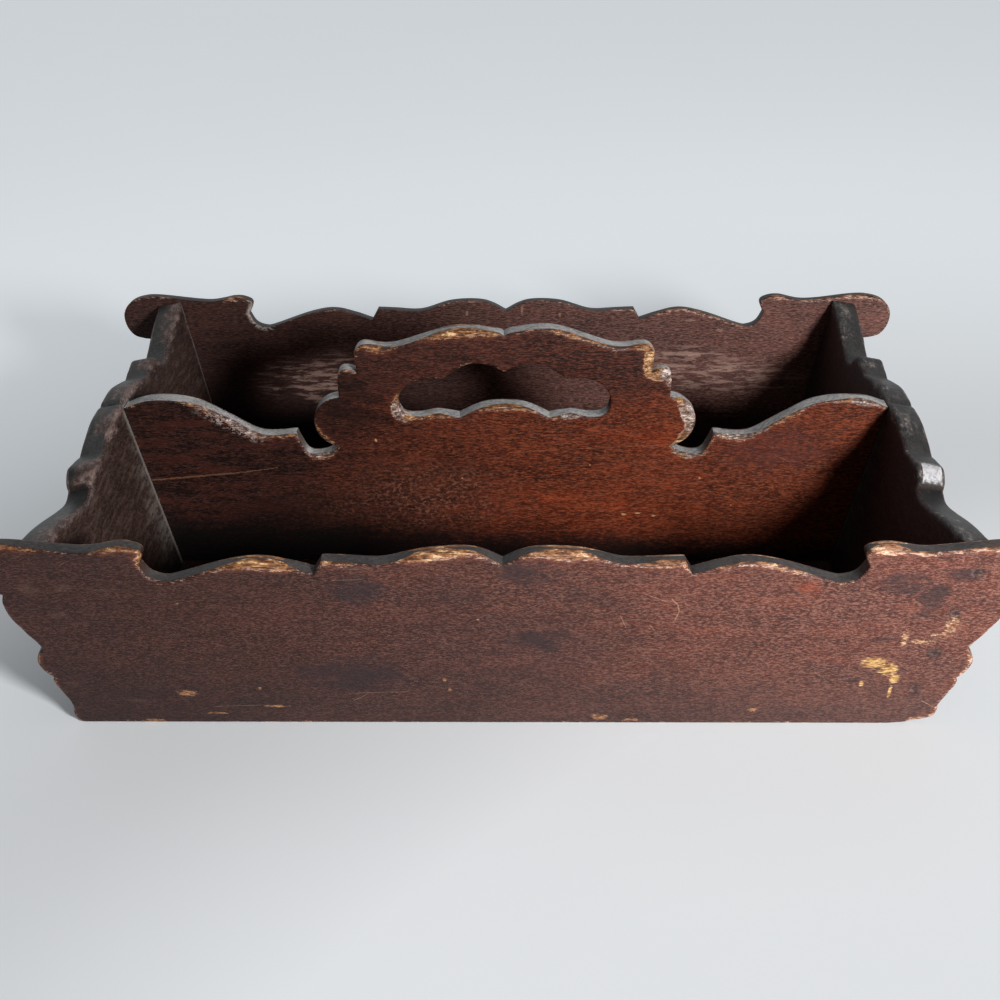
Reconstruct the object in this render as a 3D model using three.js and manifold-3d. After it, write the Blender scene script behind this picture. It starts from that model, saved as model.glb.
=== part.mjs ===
// A splayed wooden tray: two long sides and two ends lean outward round a let-in floor, and an
// upright board with a pierced hand-hold parts it into two long compartments.
// Millimetres, +Z up, +X along the length, origin at the middle of the underside.

import * as THREE from 'three';
import { mergeVertices } from 'three/addons/utils/BufferGeometryUtils.js';
import Module from 'manifold-3d';

const wasm = await Module();
wasm.setup();

// Clear floor between the walls
const floorLength = 316;
const floorDepth = 222.5;

// Thickness of each kind of board
const sideThickness = 6.3;
const endThickness = 12.4;
const dividerThickness = 8;
const floorThickness = 6;

// Outward lean of the walls, in degrees from upright
const sideLean = 5.9;
const endLean = 10.9;

// Gap left where one board meets another
const jointGap = 0.3;

// Long side: heights run up its outer face, reaches run out from its middle, and each overhang
// is how far a corner stands past the outer face of the end
const sideNotchHeight = 85.2;
const stepReach = 69.2;
const stepHeight = 86.6;
const stepRun = 3.3;
const stepDrop = 6;
const tuckHeight = 84.4;
const wingLength = 55.4;
const wingUnderHeight = 70.2;
const wingUnderOverhang = 10.5;
const beadTopHeight = 41.5;
const beadTopOverhang = 6.7;
const beadFootHeight = 25.5;
const beadFootOverhang = 8.4;
const footOverhang = 2.4;

// End: heights run up its outer face, reaches run out from its middle
const endNotchHeight = 89.9;
const endDipReach = 39;
const endDipHeight = 85.3;
const endBeadReach = 61.8;
const endBeadHeight = 81;
const endCornerHeight = 91.3;

// Divider: heights above the underside of the tray, reaches out from its middle
const handleNotchHeight = 125.3;
const handleReach = 67.5;
const handleCornerHeight = 117;
const ledgeReach = 66.8;
const ledgeHeight = 107.2;
const lobeReach = 75.6;
const lobeTopHeight = 95.2;
const lobeFootReach = 77.8;
const lobeFootHeight = 69.4;
const armReach = 96.9;
const armHeight = 76.4;
const armEndHeight = 87;

// Hand-hold pierced through the divider
const holdPeakHeight = 107.6;
const holdCuspReach = 28.6;
const holdCuspHeight = 104.4;
const holdSillReach = 20.7;
const holdSillHeight = 84.6;

// Cut brads: sheared from plate, tapered in width, with a small flat head
const bradPlate = 1.6;
const bradWidth = 2.1;
const bradTip = 1.1;
const bradHeadWidth = 3.3;
const bradHeadThickness = 0.8;
const bradSink = 0.6;
const bradClearance = 0.3;
const cornerBradLength = 30;
const floorBradLength = 20;
const dividerBradLength = 32;
const underBradLength = 22;

// Where the brads stand
const cornerBradHeight = 20;
const cornerBradPitch = 20.4;
const cornerBradCount = 4;
const sideFloorBradInset = 32;
const sideFloorBradCount = 4;
const endFloorBradInset = 41;
const endFloorBradCount = 3;
const dividerBradHeight = 22;
const dividerBradPitch = 22;
const dividerBradCount = 3;
const underBradInset = 48;
const underBradCount = 3;

// How far blanks and cutters run past the faces that trim them, and how finely curves are cut
const trimMargin = 6;
const cutterSize = 800;
const curveStepCount = 4;
const weldDistance = 0.001;

const sideSlope = THREE.MathUtils.degToRad(sideLean);
const endSlope = THREE.MathUtils.degToRad(endLean);
const sideReach = floorDepth / 2 + sideThickness / Math.cos(sideSlope);
const endReach = floorLength / 2 + endThickness / Math.cos(endSlope);

// Outer face of an end at a height, and the middle of its thickness there
const endFaceAt = (height) => endReach + height * Math.tan(endSlope);
const endMiddleAt = (height) => endFaceAt(height) - endThickness / Math.cos(endSlope) / 2;

// Inner faces that the blanks of the ends and the divider run past before they are trimmed
const sideInnerAt = (height) => floorDepth / 2 + height * Math.tan(sideSlope);
const endInnerAt = (height) => floorLength / 2 + height * Math.tan(endSlope);

// A corner of an outline, and the curve that leaves it: each belly point is a share of the way
// to the next corner and a distance out from the straight line between them
const corner = (reach, height, belly = []) => ({ at: new THREE.Vector2(reach, height), belly });

function curveTo(path, from, to, belly) {
  if (belly.length === 0) {
    path.lineTo(to.x, to.y);
    return;
  }
  const chord = new THREE.Vector2().subVectors(to, from);
  const outward = new THREE.Vector2(-chord.y, chord.x).normalize();
  const points = belly.map(([share, rise]) => {
    return from.clone().addScaledVector(chord, share).addScaledVector(outward, rise);
  });
  path.splineThru([...points, to]);
}

// Traces the right half of an outline from its top middle, crosses to the left half along
// the crossing curve, and comes back up its mirror image
function traceMirrored(path, half, crossing = []) {
  const mirrored = half.map(({ at }) => new THREE.Vector2(-at.x, at.y));
  path.moveTo(half[0].at.x, half[0].at.y);
  for (let i = 1; i < half.length; i += 1) {
    curveTo(path, half[i - 1].at, half[i].at, half[i - 1].belly);
  }
  const last = half.length - 1;
  curveTo(path, half[last].at, mirrored[last], crossing);
  for (let i = last; i > 0; i -= 1) {
    const belly = half[i - 1].belly.map(([share, rise]) => [1 - share, rise]).reverse();
    curveTo(path, mirrored[i], mirrored[i - 1], belly);
  }
  return path;
}

// A board sawn to an outline, with its outer face at z = 0 and its thickness behind it
function sawnBoard(outline, thickness) {
  const options = { depth: thickness, bevelEnabled: false, curveSegments: curveStepCount };
  return new THREE.ExtrudeGeometry(outline, options).translate(0, 0, -thickness);
}

// Closed geometry to a solid in the tray's frame, and back into the frame of its own group
function toSolid(geometry, matrix) {
  const bare = geometry.clone().applyMatrix4(matrix);
  bare.deleteAttribute('normal');
  bare.deleteAttribute('uv');
  const welded = mergeVertices(bare, weldDistance);
  const vertProperties = new Float32Array(welded.attributes.position.array);
  const triVerts = new Uint32Array(welded.index.array);
  return new wasm.Manifold(new wasm.Mesh({ numProp: 3, vertProperties, triVerts }));
}

function toGeometry(solid, matrix) {
  const { vertProperties, triVerts } = solid.getMesh();
  const geometry = new THREE.BufferGeometry();
  geometry.setAttribute('position', new THREE.BufferAttribute(vertProperties, 3));
  geometry.setIndex(new THREE.BufferAttribute(triVerts, 1));
  geometry.applyMatrix4(matrix.clone().invert());
  geometry.computeVertexNormals();
  return geometry;
}

function addPiece(name, geometry, material, home) {
  const mesh = new THREE.Mesh(geometry, material);
  mesh.name = name;
  home.add(mesh);
}

const tray = new THREE.Group();

// A wall's place: turned to face its way, then set on its foot line and leaned outward
function placeWall(turn, reach, slope) {
  const turned = new THREE.Group();
  turned.rotation.z = turn;
  const leaning = new THREE.Group();
  leaning.position.y = -reach;
  leaning.rotation.x = Math.PI / 2 + slope;
  turned.add(leaning);
  tray.add(turned);
  turned.updateMatrixWorld(true);
  return { turned, leaning, reach, slope };
}

const front = placeWall(0, sideReach, sideSlope);
const back = placeWall(Math.PI, sideReach, sideSlope);
const right = placeWall(Math.PI / 2, endReach, endSlope);
const left = placeWall(-Math.PI / 2, endReach, endSlope);

const upright = new THREE.Group();
upright.rotation.x = Math.PI / 2;
tray.add(upright);
tray.updateMatrixWorld(true);

// Everything outward of a wall's inner face, less the joint gap, trims the pieces inside it
function outwardOf(wall, thickness) {
  const block = new THREE.BoxGeometry(cutterSize, cutterSize, cutterSize);
  block.translate(0, 0, cutterSize / 2 - thickness - jointGap);
  return toSolid(block, wall.leaning.matrixWorld);
}

const sideTrims = [outwardOf(front, sideThickness), outwardOf(back, sideThickness)];
const endTrims = [outwardOf(right, endThickness), outwardOf(left, endThickness)];

// Everything below the surface that the tray stands on
const belowGround = new THREE.BoxGeometry(cutterSize, cutterSize, cutterSize);
belowGround.translate(0, 0, -cutterSize / 2);
const ground = toSolid(belowGround, tray.matrixWorld);

// A brad with its head at the origin and its shank down -Y. Grown by the clearance, with a
// mouth above the head, the same form is the hole that it is driven into.
function bradForm(length, clearance, mouth) {
  const head = bradHeadWidth / 2 + clearance;
  const neck = bradWidth / 2 + clearance;
  const tip = bradTip / 2 + clearance;
  const underHead = -bradHeadThickness - clearance;
  const bottom = -length - clearance;
  const outline = new THREE.Shape();
  outline.moveTo(-head, mouth);
  outline.lineTo(head, mouth);
  outline.lineTo(head, underHead);
  outline.lineTo(neck, underHead);
  outline.lineTo(tip, bottom);
  outline.lineTo(-tip, bottom);
  outline.lineTo(-neck, underHead);
  outline.lineTo(-head, underHead);
  outline.closePath();
  const plate = bradPlate + 2 * clearance;
  const form = new THREE.ExtrudeGeometry(outline, { depth: plate, bevelEnabled: false });
  return form.translate(0, 0, -plate / 2);
}

const iron = new THREE.MeshStandardMaterial({ color: '#2e2624', roughness: 0.8, metalness: 0.6 });
const holes = [];

function driveBrad(name, length, place) {
  addPiece(name, bradForm(length, 0, 0), iron, place);
  place.updateMatrixWorld(true);
  holes.push(toSolid(bradForm(length, bradClearance, bradSink + trimMargin), place.matrixWorld));
}

// Driven level into a wall, with its head sunk just below the outer face
function driveLevel(name, length, wall, along, height) {
  const place = new THREE.Group();
  place.position.set(along, -wall.reach - height * Math.tan(wall.slope) + bradSink, height);
  place.rotation.z = Math.PI;
  wall.turned.add(place);
  driveBrad(name, length, place);
}

// Places of a row in equal steps, with its two outer ones this far in from the ends of a length
const spreadOut = (length, inset, count) => {
  const pitch = (length - 2 * inset) / (count - 1);
  return Array.from({ length: count }, (_, i) => (i - (count - 1) / 2) * pitch);
};

// Corner brads: through each long side into the edges of the two ends
const sides = { front, back };
for (const [sideName, wall] of Object.entries(sides)) {
  for (const hand of ['left', 'right']) {
    const facing = (hand === 'right') === (wall === front) ? 1 : -1;
    for (let i = 0; i < cornerBradCount; i += 1) {
      const height = cornerBradHeight + i * cornerBradPitch;
      const name = `${sideName}_${hand}_corner_brad_${i + 1}`;
      driveLevel(name, cornerBradLength, wall, facing * endMiddleAt(height), height);
    }
  }
}

// Floor brads: through the foot of each wall into the edge of the floor
const floorMiddle = floorThickness / 2;
for (const [sideName, wall] of Object.entries(sides)) {
  spreadOut(floorLength, sideFloorBradInset, sideFloorBradCount).forEach((along, i) => {
    driveLevel(`${sideName}_floor_brad_${i + 1}`, floorBradLength, wall, along, floorMiddle);
  });
}
const ends = { left, right };
for (const [endName, wall] of Object.entries(ends)) {
  spreadOut(floorDepth, endFloorBradInset, endFloorBradCount).forEach((along, i) => {
    driveLevel(`${endName}_floor_brad_${i + 1}`, floorBradLength, wall, along, floorMiddle);
  });
}

// Divider brads: through each end, and up through the floor
for (const [endName, wall] of Object.entries(ends)) {
  for (let i = 0; i < dividerBradCount; i += 1) {
    const height = dividerBradHeight + i * dividerBradPitch;
    driveLevel(`${endName}_divider_brad_${i + 1}`, dividerBradLength, wall, 0, height);
  }
}
spreadOut(floorLength, underBradInset, underBradCount).forEach((along, i) => {
  const place = new THREE.Group();
  place.position.set(along, 0, bradSink);
  place.rotation.x = -Math.PI / 2;
  tray.add(place);
  driveBrad(`under_divider_brad_${i + 1}`, underBradLength, place);
});

const bradHoles = wasm.Manifold.union(holes);

// Cuts a blank with its trims and the brad holes and adds it to the tray
function fitPiece(name, blank, home, trims, color) {
  let solid = toSolid(blank, home.matrixWorld);
  for (const trim of trims) {
    solid = solid.subtract(trim);
  }
  solid = solid.subtract(bradHoles);
  const wood = new THREE.MeshStandardMaterial({ color, roughness: 0.5, metalness: 0 });
  addPiece(name, toGeometry(solid, home.matrixWorld), wood, home);
}

// Long sides: sawn to one scrolled outline, running past the ends as wings
const wingUnderReach = endFaceAt(wingUnderHeight) + wingUnderOverhang;
const sideHalf = [
  corner(0, sideNotchHeight, [[0.17, 5.2], [0.42, 4.7], [0.66, -0.5], [0.88, -0.2]]),
  corner(stepReach, stepHeight),
  corner(stepReach + stepRun, stepHeight - stepDrop, [
    [0.27, 4.6], [0.48, 2.4], [0.79, -6], [0.87, -7.2], [0.95, -5.3],
  ]),
  corner(wingUnderReach - wingLength, tuckHeight, [
    [-0.06, 4.9], [-0.02, 8.2], [0.09, 10.8], [0.34, 11.8], [0.77, 21], [0.93, 22.9],
    [1.05, 22.1], [1.13, 19], [1.17, 14.5], [1.17, 8.4], [1.12, 3.1],
  ]),
  corner(wingUnderReach, wingUnderHeight, [[0.18, 3.1], [0.45, 3.6], [0.86, 0.3]]),
  corner(endFaceAt(beadTopHeight) + beadTopOverhang, beadTopHeight, [[0.17, 2.7], [0.45, 4.3], [0.77, 2.8]]),
  corner(endFaceAt(beadFootHeight) + beadFootOverhang, beadFootHeight, [
    [0.09, 1.8], [0.49, 1.6], [0.71, 3.8], [0.88, 3.4],
  ]),
  corner(endReach + footOverhang, 0),
  corner(endReach + footOverhang, -trimMargin),
];
const sideBlank = sawnBoard(traceMirrored(new THREE.Shape(), sideHalf), sideThickness);
fitPiece('front_board', sideBlank, front.leaning, [ground], '#5a2f24');
fitPiece('back_board', sideBlank, back.leaning, [ground], '#54291f');

// Ends: butted between the sides, lobed along the top and swept up to the corners
const endCornerReach = sideInnerAt(endCornerHeight) + trimMargin;
const endHalf = [
  corner(0, endNotchHeight, [[0.12, 1.7], [0.48, 3]]),
  corner(endDipReach, endDipHeight, [[0.45, 4.3], [0.68, 5.6], [0.94, 3.1]]),
  corner(endBeadReach, endBeadHeight, [[0.14, -2.8], [0.53, 0], [0.78, 0.9]]),
  corner(endCornerReach, endCornerHeight),
  corner(endCornerReach, -trimMargin),
];
const endBlank = sawnBoard(traceMirrored(new THREE.Shape(), endHalf), endThickness);
fitPiece('right_end', endBlank, right.leaning, [...sideTrims, ground], '#4d271e');
fitPiece('left_end', endBlank, left.leaning, [...sideTrims, ground], '#4a2a22');

// Floor: let in between the four walls, its edges planed to their lean
const floorBlank = new THREE.BoxGeometry(
  floorLength + 2 * trimMargin,
  floorDepth + 2 * trimMargin,
  floorThickness,
);
floorBlank.translate(0, 0, floorThickness / 2);
fitPiece('floor_board', floorBlank, tray, [...sideTrims, ...endTrims], '#4f3024');

// Divider: upright on the floor between the ends, raised in the middle as a carrying handle
const dividerFoot = floorThickness + jointGap;
const armEndReach = endInnerAt(armEndHeight) + trimMargin;
const dividerHalf = [
  corner(0, handleNotchHeight, [[0.06, 2.3], [0.32, 5.8], [0.72, 0.9], [0.93, 3.6]]),
  corner(handleReach, handleCornerHeight),
  corner(ledgeReach, ledgeHeight, [[0.05, 4], [0.22, 6.6], [0.47, 5.9]]),
  corner(lobeReach, lobeTopHeight, [[0.08, 5.5], [0.25, 9.7], [0.47, 11.4], [0.7, 10.2], [0.89, 6.3]]),
  corner(lobeFootReach, lobeFootHeight, [[0.15, -4.1], [0.4, -7.3], [0.64, -7.5]]),
  corner(armReach, armHeight, [[0.19, -2.6], [0.38, 4], [0.57, 9.7], [0.81, 8.5]]),
  corner(armEndReach, armEndHeight),
  corner(armEndReach, dividerFoot),
];
const holdHalf = [
  corner(0, holdPeakHeight, [[0.16, 3.5], [0.38, 5.7], [0.62, 5.3]]),
  corner(holdCuspReach, holdCuspHeight, [
    [-0.14, 6.2], [-0.17, 13], [-0.07, 19], [0.13, 22.6],
    [0.36, 23.7], [0.55, 21.8], [0.68, 15.9], [0.75, 8.4],
  ]),
  corner(holdSillReach, holdSillHeight),
];
const holdSill = [[0.25, -5.1], [0.5, -6.4], [0.75, -5.1]];
const dividerOutline = traceMirrored(new THREE.Shape(), dividerHalf);
// A hole runs the other way round from the outline that holds it
const holdPoints = traceMirrored(new THREE.Path(), holdHalf, holdSill).getPoints(curveStepCount);
dividerOutline.holes.push(new THREE.Path(holdPoints.reverse()));
const dividerBlank = sawnBoard(dividerOutline, dividerThickness).translate(0, 0, dividerThickness / 2);
fitPiece('divider', dividerBlank, upright, endTrims, '#70382a');

export default tray;
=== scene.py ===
import math

import bmesh
import bpy
import numpy as np
from mathutils import Matrix, Vector
from mathutils.geometry import delaunay_2d_cdt


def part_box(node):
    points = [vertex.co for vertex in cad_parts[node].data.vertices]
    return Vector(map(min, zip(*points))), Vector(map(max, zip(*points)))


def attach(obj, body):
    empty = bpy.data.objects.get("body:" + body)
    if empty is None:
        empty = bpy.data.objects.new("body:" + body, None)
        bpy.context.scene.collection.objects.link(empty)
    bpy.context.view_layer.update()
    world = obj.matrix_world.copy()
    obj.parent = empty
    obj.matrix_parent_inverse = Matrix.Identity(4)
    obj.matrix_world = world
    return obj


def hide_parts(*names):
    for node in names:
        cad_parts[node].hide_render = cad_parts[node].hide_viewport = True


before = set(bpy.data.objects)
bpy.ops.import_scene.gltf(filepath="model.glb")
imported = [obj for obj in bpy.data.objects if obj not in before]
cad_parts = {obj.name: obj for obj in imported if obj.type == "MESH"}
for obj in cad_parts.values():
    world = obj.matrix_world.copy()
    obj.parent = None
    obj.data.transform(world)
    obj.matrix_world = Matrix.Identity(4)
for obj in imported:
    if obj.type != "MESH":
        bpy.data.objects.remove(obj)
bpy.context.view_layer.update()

# Long sides: two thin mahogany boards sawn to one scrolled outline and polished dark. They
# stand in front of and behind the ends, run past them as wings, and are held by brads.

MM = 0.001
FLOOR_LENGTH, FLOOR_DEPTH = 316.0, 222.5
SIDE_THICKNESS = 6.3
SIDE_LEAN = math.radians(5.9)
SIDE_REACH = FLOOR_DEPTH / 2 + SIDE_THICKNESS / math.cos(SIDE_LEAN)
END_THICKNESS = 12.4
END_LEAN = math.radians(10.9)
END_REACH = FLOOR_LENGTH / 2 + END_THICKNESS / math.cos(END_LEAN)
SAW_STEP = 1.5
CURVE_STEPS = 12


def end_face_at(height):
    return END_REACH + height * math.tan(END_LEAN)


def swing(start, end, belly=()):
    """The sawn curve from one corner to the next, bulged out through its belly points."""
    start, end = np.array(start, float), np.array(end, float)
    chord = end - start
    outward = np.array([-chord[1], chord[0]]) / math.hypot(*chord)
    knots = [start, *(start + chord * share + outward * rise for share, rise in belly), end]
    fine = [start]
    for i in range(len(knots) - 1):
        here, there = knots[i], knots[i + 1]
        leave = (there - knots[max(i - 1, 0)]) / 2
        arrive = (knots[min(i + 2, len(knots) - 1)] - here) / 2
        cubic = 2 * here - 2 * there + leave + arrive
        square = 3 * there - 3 * here - 2 * leave - arrive
        for t in np.linspace(0, 1, CURVE_STEPS + 1)[1:]:
            fine.append(cubic * t**3 + square * t**2 + leave * t + here)
    fine = np.array(fine)
    run = np.concatenate([[0], np.cumsum(np.hypot(*np.diff(fine, axis=0).T))])
    at = np.linspace(0, run[-1], max(1, round(run[-1] / SAW_STEP)) + 1)
    return np.column_stack([np.interp(at, run, fine[:, 0]), np.interp(at, run, fine[:, 1])])


def half_outline(corners):
    """The right half of an outline, from its top middle round to its last corner."""
    stretches = [swing(a[0], b[0], a[1]) for a, b in zip(corners, corners[1:])]
    return np.vstack([stretches[0], *(stretch[1:] for stretch in stretches[1:])])


def both_halves(half, crossing=(), mirror=None):
    """A closed outline: a right half, the stretch across its foot, and a half mirrored."""
    left = (half if mirror is None else mirror)[::-1] * [-1, 1]
    across = swing(half[-1], left[0], crossing)
    return np.vstack([half, across[1:-1], left[:-1]])


wing_low = 70.2
wing_under = end_face_at(wing_low) + 10.5
foot_reach = END_REACH + 2.4
side_half = half_outline([
    ((0, 85.2), [(0.17, 5.2), (0.42, 4.7), (0.66, -0.5), (0.88, -0.2)]),
    ((69.2, 86.6), []),
    ((72.5, 80.6), [(0.27, 4.6), (0.48, 2.4), (0.79, -6), (0.87, -7.2), (0.95, -5.3)]),
    ((wing_under - 55.4, 84.4), [
        (-0.06, 4.9), (-0.02, 8.2), (0.09, 10.8), (0.34, 11.8), (0.77, 21), (0.93, 22.9),
        (1.05, 22.1), (1.13, 19), (1.17, 14.5), (1.17, 8.4), (1.12, 3.1),
    ]),
    ((wing_under, wing_low), [(0.18, 3.1), (0.45, 3.6), (0.86, 0.3)]),
    ((end_face_at(41.5) + 6.7, 41.5), [(0.17, 2.7), (0.45, 4.3), (0.77, 2.8)]),
    ((end_face_at(25.5) + 8.4, 25.5), [(0.09, 1.8), (0.49, 1.6), (0.71, 3.8), (0.88, 3.4)]),
    ((foot_reach, 0), []),
])
side_outline = both_halves(side_half)
worn_below, worn_away, splay = 8, 13, 3.4
above_foot = side_half[side_half[:, 1] > worn_below]
worn_corner = swing(
    above_foot[-1], (foot_reach - worn_away, 0), [(0.11, 3.3), (0.29, 3.75), (0.63, 2.4)])
sound_corner = swing(above_foot[-1], (foot_reach + splay, 0), [(0.45, 2.2), (0.8, 2.0)])
worn_half, sound_half = (
    np.vstack([above_foot, corner[1:]]) for corner in (worn_corner, sound_corner))
front_outline = both_halves(worn_half, mirror=sound_half)

POINTS_AT_ONCE = 1500


def first_places(loops):
    """Where each loop starts in the list of all their points."""
    return np.cumsum([0, *(len(loop) for loop in loops[:-1])])


def distances(points, loops):
    """How far each point is from the nearest sawn line, and that line's nearer end."""
    starts = np.vstack(loops)
    steps = np.vstack([np.roll(loop, -1, axis=0) - loop for loop in loops])
    ends = np.concatenate([np.roll(np.arange(len(loop)), -1) + first
                           for loop, first in zip(loops, first_places(loops))])
    lengths = (steps**2).sum(1) + 1e-9
    far, nearest = np.empty(len(points)), np.empty(len(points), int)
    for first in range(0, len(points), POINTS_AT_ONCE):
        batch = slice(first, first + POINTS_AT_ONCE)
        away = points[batch, None] - starts[None]
        along = np.clip((away * steps).sum(2) / lengths, 0, 1)
        gap = np.hypot(*np.moveaxis(away - steps * along[..., None], 2, 0))
        pick = gap.argmin(1)
        row = np.arange(len(pick))
        far[batch] = gap[row, pick]
        nearest[batch] = np.where(along[row, pick] < 0.5, pick, ends[pick])
    return far, nearest


def inside(points, loops):
    """Which points lie on wood: inside the outline and outside any hole."""
    crossings = np.zeros(len(points), int)
    for loop in loops:
        ahead = np.roll(loop, -1, axis=0)
        for (x0, y0), (x1, y1) in zip(loop, ahead):
            if y0 != y1:
                spans = (points[:, 1] >= min(y0, y1)) & (points[:, 1] < max(y0, y1))
                at = x0 + (points[:, 1] - y0) * (x1 - x0) / (y1 - y0)
                crossings += spans & (at > points[:, 0])
    return crossings % 2 == 1


def smoothed(values, length):
    """Values round an outline, each evened out with its neighbours within a length in mm."""
    steps = np.minimum(np.arange(len(values)), len(values) - np.arange(len(values)))
    spread = np.exp(-0.5 * (steps * SAW_STEP / length) ** 2)
    return np.fft.ifft(np.fft.fft(values) * np.fft.fft(spread / spread.sum())).real


def wander(count, seed, length):
    """A smooth random run round an outline, from about -1 to 1, the same every time."""
    smooth = smoothed(np.random.default_rng(seed).normal(size=count), length)
    return np.clip(smooth / smooth.std() / 2, -1, 1)


def way_round(loop):
    """1 where a loop runs against the clock, and -1 where it runs with it."""
    ahead = np.roll(loop, -1, axis=0)
    return np.sign((loop[:, 0] * ahead[:, 1] - loop[:, 1] * ahead[:, 0]).sum())


def bulge(loop, length):
    """How convex an outline is at each point, from 0 in a cove to 1 on the crest of a lobe."""
    turn = np.roll(loop, -1, axis=0) - 2 * loop + np.roll(loop, 1, axis=0)
    run = np.roll(loop, -1, axis=0) - np.roll(loop, 1, axis=0)
    bend = (run[:, 0] * turn[:, 1] - run[:, 1] * turn[:, 0]) * way_round(loop)
    return np.clip(0.5 + smoothed(bend, length) * 6, 0, 1)


def hot_spots(outline, handled):
    """Extra handling at some places of an outline: x, y, reach in mm, and how much."""
    extra = np.zeros(len(outline))
    for x, y, reach, much in handled:
        extra += much * np.exp(-((outline[:, 0] - x) ** 2 + (outline[:, 1] - y) ** 2) / reach**2)
    return extra


RINGS_IN = 0.18, 0.5, 1.0, 1.7, 2.7
PLAIN_FROM = 4.2
BRAD_HEAD = 3.9, 2.2
BRAD_DEPTH, POCKET_TAPER = 1.3, 0.1
HEAD_CORNERS = (-1, -1), (0, -1), (1, -1), (1, 0), (1, 1), (0, 1), (-1, 1), (-1, 0)
STOPPING_RINGS = (0, 1), (0.8, 6), (1.5, 9), (2, 12), (2.5, 14), (3.4, 14)
STOPPING_REACH, STOPPING_DIP = 2.2, 0.14
PLAIN_OFF_BRAD, RINGS_OFF_BRAD, NO_BRAD = 4.4, 3.8, 12.0
EDGE_ROWS = 4
SHARP_FROM = math.radians(38)


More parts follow.
